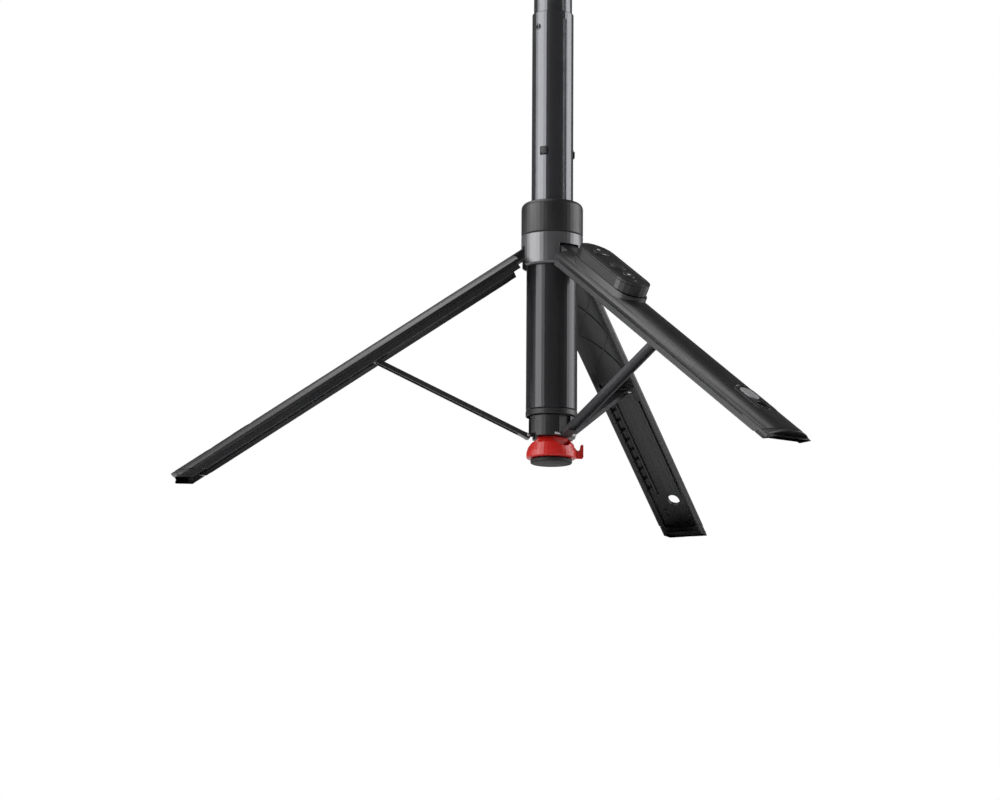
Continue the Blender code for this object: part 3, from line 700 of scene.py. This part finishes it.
# ---------------------------------------------------------------- remote control

REMOTE_PLACE = leg_frame(LEGS["front"]) @ shift(0, 0, -REMOTE_U) @ ALONG_X
ROCKER_PLUS, ROCKER_MINUS, SHUTTER_AT, MODE_AT, LIGHT_AT = 20.0, 13.0, -3.0, -15.6, -23.5
MARK_LONG, MARK_WIDE = 1.25, 0.28


def button_disc(radius, rim, thick, along, height, steps):
    """A small disc with a chamfered rim on the face of the remote."""
    profile = [(0.02, 0), (radius, 0), (radius - 0.1, rim), (0.02, thick)]
    return Shape().lathe(profile, REMOTE_PLACE @ shift(0, along, height), steps, False)


def remote_trim():
    """The seam round the case, painted near-black as the shade in the parting line, and a fine bead round
    its face.
    """
    outline = stadium(REMOTE_LONG / 2, REMOTE_WIDE / 2, 16)
    seam = Shape().bead(inset(outline, 0.18), 0.16, REMOTE_PLACE, REMOTE_TOP_N - 1.15, 1.0)
    seam.piece("remote_seam", "remote", "remote", PAINTED_SHADE)
    bead = Shape().bead(inset(outline, 2.1), 0.18, REMOTE_PLACE, REMOTE_TOP_N, 0.7)
    bead.piece("remote_face_bead", "remote", "remote")


def key_marks():
    """Generic plus and minus marks, a ring on the shutter key, a dot on the mode key, and the indicator."""
    marks = Shape()
    low, high = REMOTE_TOP_N + 0.5, REMOTE_TOP_N + 0.68
    for along, half_x, half_y in ((ROCKER_PLUS, MARK_WIDE, MARK_LONG), (ROCKER_PLUS, MARK_LONG, MARK_WIDE),
                                  (ROCKER_MINUS, MARK_LONG, MARK_WIDE)):
        marks.slab(rounded_box(half_x, half_y, 0.2, 3), low, high, REMOTE_PLACE @ shift(0, along, 0), 0.06)
    marks.piece("rocker_marks", "rocker_key", "button", MARK)
    radius, steps = 3.6, 32
    circle = [(radius * cos(tau * i / steps), radius * sin(tau * i / steps)) for i in range(steps)]
    ring = Shape().bead(circle, 0.2, REMOTE_PLACE @ shift(0, SHUTTER_AT, 0), REMOTE_TOP_N + 0.6, 0.8)
    ring.piece("shutter_ring", "shutter_key", "button", FINISH["remote"])
    dot = button_disc(1.0, 0.14, 0.2, MODE_AT, REMOTE_TOP_N + 0.55, 20)
    dot.piece("mode_mark", "mode_key", "button", MARK)
    light = button_disc(0.6, 0.12, 0.16, LIGHT_AT, REMOTE_TOP_N - 0.02, 16)
    light.piece("remote_light", "remote", "insert")


remote_trim()
key_marks()

# ---------------------------------------------------------------- phone holder

BACK_Y, PAD_Y, PAD_PITCH = -4.45, -11.9, 2.2
KNOB_PLACE = shift(0, 0, TILT_Z) @ ALONG_X
KNOB_RIDGES, KNOB_R = 18, 5.75


def back_pad():
    """A rubber pad with ribs on the holder's back plate."""
    middle = (HOLDER_BOTTOM + HOLDER_TOP) / 2
    pad = Shape().slab(rounded_box(8.6, 24.0, 2.5), 0.0, 0.5, shift(0, BACK_Y, middle) @ ALONG_Y, 0.2)
    for k in range(-7, 8):
        pad.slab(rounded_box(6.5, 0.5, 0.4, 3), 0.3, 0.8, shift(0, BACK_Y, middle + k * 3.0) @ ALONG_Y, 0.15)
    pad.piece("holder_back_pad", "holder", "rubber")


def pad_ribs(name, body, low, high):
    """Ribs across the pad of a jaw."""
    ribs = Shape()
    for k in range(-5, 6):
        ribs.slab(rounded_box(0.6, 5.6, 0.5, 3), low, high, shift(k * PAD_PITCH, PAD_Y, 0), 0.15)
    ribs.piece(name, body, "rubber")


def tilt_knob_grip():
    """Ridges round the tilt knob, and a bright disc on its end."""
    ridges = Shape()
    for k in range(KNOB_RIDGES):
        turn = Matrix.Rotation(tau * k / KNOB_RIDGES, 4, "Z")
        ridges.slab(rounded_box(0.35, 0.5, 0.2, 2), 9.7, 13.3, KNOB_PLACE @ turn @ shift(KNOB_R, 0, 0), 0.15)
    ridges.piece("tilt_knob_grip", "pan_head", "collar")
    disc = Shape().lathe([(0.02, 14.0), (3.6, 14.0), (3.4, 14.15), (0.02, 14.15)], KNOB_PLACE, 32, False)
    disc.piece("tilt_knob_disc", "pan_head", "steel")


def rod_seats():
    """Rings where the two guide rods meet the holder's top."""
    rings = Shape()
    for x in (-6.5, 6.5):
        rings.lathe(wire(2.0, 0, 0.3), shift(x, 0.5, HOLDER_TOP - 0.32), 24)
    rings.piece("rod_seats", "holder", "steel")


back_pad()
lower_pad_z, upper_pad_z = HOLDER_BOTTOM + 5.5, HOLDER_TOP - 1.2
pad_ribs("pad_lower_ribs", "holder", lower_pad_z - 0.2, lower_pad_z + 0.3)
pad_ribs("pad_upper_ribs", "jaw", upper_pad_z - 0.3, upper_pad_z + 0.2)
tilt_knob_grip()
rod_seats()

# ---------------------------------------------------------------- rounded edges on the plainer nodes

EDGES = {
    "hub": 0.35, "collar": 0.2, "column_end_ring": 0.2,
    "slider_block": 0.25, "base_cap": 0.35, "base_pad": 0.2,
    "head_base": 0.2, "pan_yoke": 0.45, "tilt_knob": 0.25,
    "holder_body": 0.7, "jaw_lower": 0.6, "jaw_upper": 0.6, "pad_lower": 0.35, "pad_upper": 0.35,
    "remote_case": 0.3, "remote_face": 0.32,
    "rocker_button": 0.4, "shutter_button": 0.4, "mode_button": 0.4,
    **{"strut_" + side: 0.22 for side in LEGS},
    **{"leg_liner_" + side: 0.14 for side in LEGS},
}
for name, width in EDGES.items():
    softened(name, width)

# ---------------------------------------------------------------- floor, light and camera

def area_light(name, power, size, place, target):
    data = bpy.data.lights.new(name, "AREA")
    data.energy = power
    data.shape = "RECTANGLE"
    data.size, data.size_y = size
    lamp = bpy.data.objects.new(name, data)
    bpy.context.scene.collection.objects.link(lamp)
    lamp.location = place
    lamp.rotation_euler = (Vector(target) - Vector(place)).to_track_quat("-Z", "Y").to_euler()


FLOOR_HALF, FLOOR_EVENNESS = 3.0, 0.7
REFLECTED_GREY = 0.10


def build_floor():
    """A pale sheet under the feet, evened out where it is seen directly. Its underside is clear, because the
    camera looks up from below it."""
    mesh = bpy.data.meshes.new("floor")
    half = FLOOR_HALF
    corners = [(-half, -half), (half, -half), (half, half), (-half, half)]
    mesh.from_pydata([(x, y, FLOOR_Z * MM) for x, y in corners], [], [(0, 1, 2, 3)])
    floor = bpy.data.objects.new("floor", mesh)
    bpy.context.scene.collection.objects.link(floor)
    paper = bpy.data.materials.new("floor_paper")
    paper.use_nodes = True
    tree = paper.node_tree
    shader = tree.nodes["Principled BSDF"]
    shader.inputs["Base Color"].default_value = (0.86, 0.86, 0.86, 1)
    shader.inputs["Roughness"].default_value = 0.9
    glow = node(tree, "ShaderNodeEmission")
    glow.inputs["Color"].default_value = (0.88, 0.88, 0.88, 1)
    seen = node(tree, "ShaderNodeLightPath")
    share = node(tree, "ShaderNodeMath", operation="MULTIPLY")
    share.inputs[1].default_value = FLOOR_EVENNESS
    tree.links.new(seen.outputs["Is Camera Ray"], share.inputs[0])
    pale = node(tree, "ShaderNodeMixShader")
    tree.links.new(share.outputs["Value"], pale.inputs["Fac"])
    tree.links.new(shader.outputs["BSDF"], pale.inputs[1])
    tree.links.new(glow.outputs["Emission"], pale.inputs[2])
    clear = node(tree, "ShaderNodeBsdfTransparent")
    side = node(tree, "ShaderNodeNewGeometry")
    mix = node(tree, "ShaderNodeMixShader")
    tree.links.new(side.outputs["Backfacing"], mix.inputs["Fac"])
    tree.links.new(pale.outputs["Shader"], mix.inputs[1])
    tree.links.new(clear.outputs["BSDF"], mix.inputs[2])
    tree.links.new(mix.outputs["Shader"], tree.nodes["Material Output"].inputs["Surface"])
    mesh.materials.append(paper)


def build_world():
    """White where the camera sees it, and a soft grey for what the object reflects."""
    world = bpy.data.worlds.new("studio")
    bpy.context.scene.world = world
    world.use_nodes = True
    tree = world.node_tree
    seen = tree.nodes["Background"]
    seen.inputs["Color"].default_value = (1, 1, 1, 1)
    seen.inputs["Strength"].default_value = 1.0
    soft = node(tree, "ShaderNodeBackground")
    soft.inputs["Color"].default_value = (1, 1, 1, 1)
    soft.inputs["Strength"].default_value = REFLECTED_GREY
    path = node(tree, "ShaderNodeLightPath")
    mix = node(tree, "ShaderNodeMixShader")
    tree.links.new(path.outputs["Is Camera Ray"], mix.inputs["Fac"])
    tree.links.new(soft.outputs["Background"], mix.inputs[1])
    tree.links.new(seen.outputs["Background"], mix.inputs[2])
    tree.links.new(mix.outputs["Shader"], tree.nodes["World Output"].inputs["Surface"])


CAMERA_AZIMUTH, CAMERA_DROP, CAMERA_AWAY = radians(-36.2), radians(12.98), 2.0765
CAMERA_YAW, CAMERA_TILT, CAMERA_ROLL = radians(0.867), radians(10.287), radians(0.383)
CAMERA_TARGET_Z, CAMERA_LENS = 0.1375, 124.5


def build_camera():
    data = bpy.data.cameras.new("camera")
    data.sensor_width = 36.0
    data.lens = CAMERA_LENS
    data.clip_start, data.clip_end = 0.05, 50.0
    camera = bpy.data.objects.new("camera", data)
    bpy.context.scene.collection.objects.link(camera)
    turn = Matrix.Rotation(CAMERA_AZIMUTH, 3, "Z")
    away = Vector((0, -cos(CAMERA_DROP), -sin(CAMERA_DROP))) * CAMERA_AWAY
    aim = Vector((-sin(CAMERA_YAW) * cos(CAMERA_TILT), cos(CAMERA_YAW) * cos(CAMERA_TILT), sin(CAMERA_TILT)))
    right = aim.cross(Vector((0, 0, 1))).normalized()
    up = right.cross(aim)
    level = Matrix((right, up, -aim)).transposed()
    rolled = level @ Matrix.Rotation(CAMERA_ROLL, 3, "Z")
    world = (turn @ rolled).to_4x4()
    world.translation = turn @ away + Vector((0, 0, CAMERA_TARGET_Z))
    camera.matrix_world = world
    bpy.context.scene.camera = camera


def build_lights():
    """A wide soft box on the camera's left, a narrower one on its right, and one above and behind."""
    turn = Matrix.Rotation(CAMERA_AZIMUTH, 3, "Z")
    target = (0, 0, 0.16)

    def beside(degrees_round, away, height):
        angle = radians(degrees_round)
        return turn @ Vector((sin(angle) * away, -cos(angle) * away, height))

    area_light("left_box", 30.0, (1.35, 1.7), beside(-70, 1.25, 0.25), target)
    area_light("right_box", 19.0, (1.0, 1.7), beside(100, 1.25, 0.25), target)
    area_light("overhead", 11.0, (1.1, 1.1), beside(-119, 0.6, 1.5), target)


build_floor()
build_world()
build_camera()
build_lights()
bpy.context.scene.view_settings.view_transform = "Standard"
